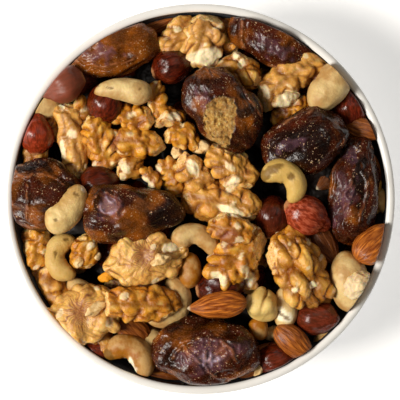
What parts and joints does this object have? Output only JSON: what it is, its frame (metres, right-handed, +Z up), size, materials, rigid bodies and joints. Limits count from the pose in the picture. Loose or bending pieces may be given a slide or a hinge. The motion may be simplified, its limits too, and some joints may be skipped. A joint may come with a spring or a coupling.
{
  "type": "bowl of trail mix",
  "caption": "Shallow round footed bowl heaped with dates, walnut halves and pieces, cashews, hazelnuts and almonds.",
  "frame": {"origin": "centre of the underside of the bowl's foot ring", "axes": "+Z up along the bowl's axis; +X to the right and +Y to the top of the heap as it is seen from straight above"},
  "size_m": [0.164, 0.164, 0.0679],
  "materials": {
    "bowl": "white glaze outside and over the rim, slate blue-grey glaze inside",
    "trail_mix": "nuts and dates, from cream and tan to dark glossy brown"
  },
  "bodies": {
    "root": {"bowl": "bowl", "trail_mix": "trail_mix"}
  },
  "joints": []
}
